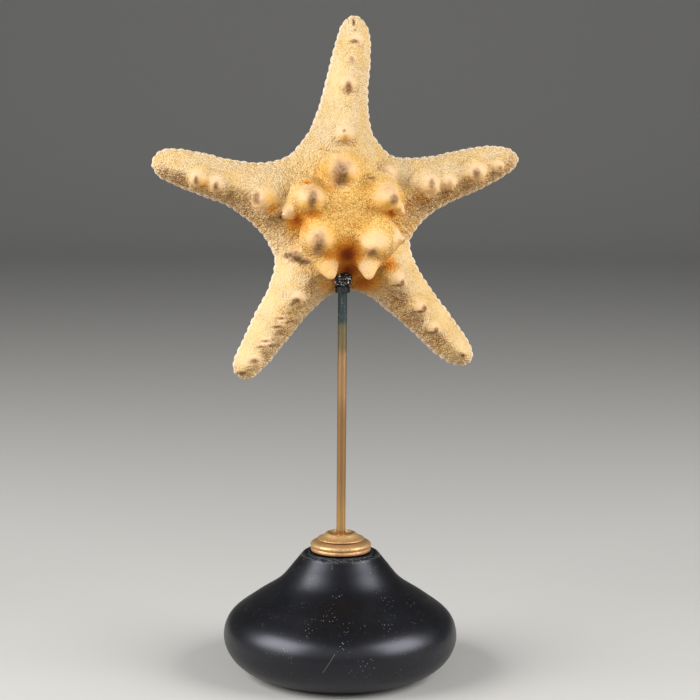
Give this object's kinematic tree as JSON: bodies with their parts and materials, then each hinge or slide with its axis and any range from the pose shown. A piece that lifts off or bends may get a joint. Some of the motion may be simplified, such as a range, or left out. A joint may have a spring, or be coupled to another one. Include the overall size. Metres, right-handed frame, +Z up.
{
  "type": "fossil starfish",
  "caption": "Dried knobbed starfish held face-on by a slim brass rod with stacked brass rings on a black turned onion-shaped foot.",
  "frame": {"origin": "middle of the foot's flat underside, on the surface that the stand rests on", "axes": "+Z up along the rod, -Y the way the starfish's knobbed face looks, +X to the right as it is seen from in front"},
  "size_m": [0.1598, 0.1032, 0.2885],
  "materials": {
    "black_lacquer": "satin",
    "brass": "satin",
    "dark_metal": "satin",
    "black_resin": "gloss",
    "starfish_skeleton": "matte"
  },
  "bodies": {
    "root": {"foot": "black_lacquer", "brass_flange": "brass", "brass_cone": "brass", "rod": "brass", "rod_ferrule": "dark_metal", "resin_bead": "black_resin", "starfish": "starfish_skeleton"}
  },
  "joints": []
}
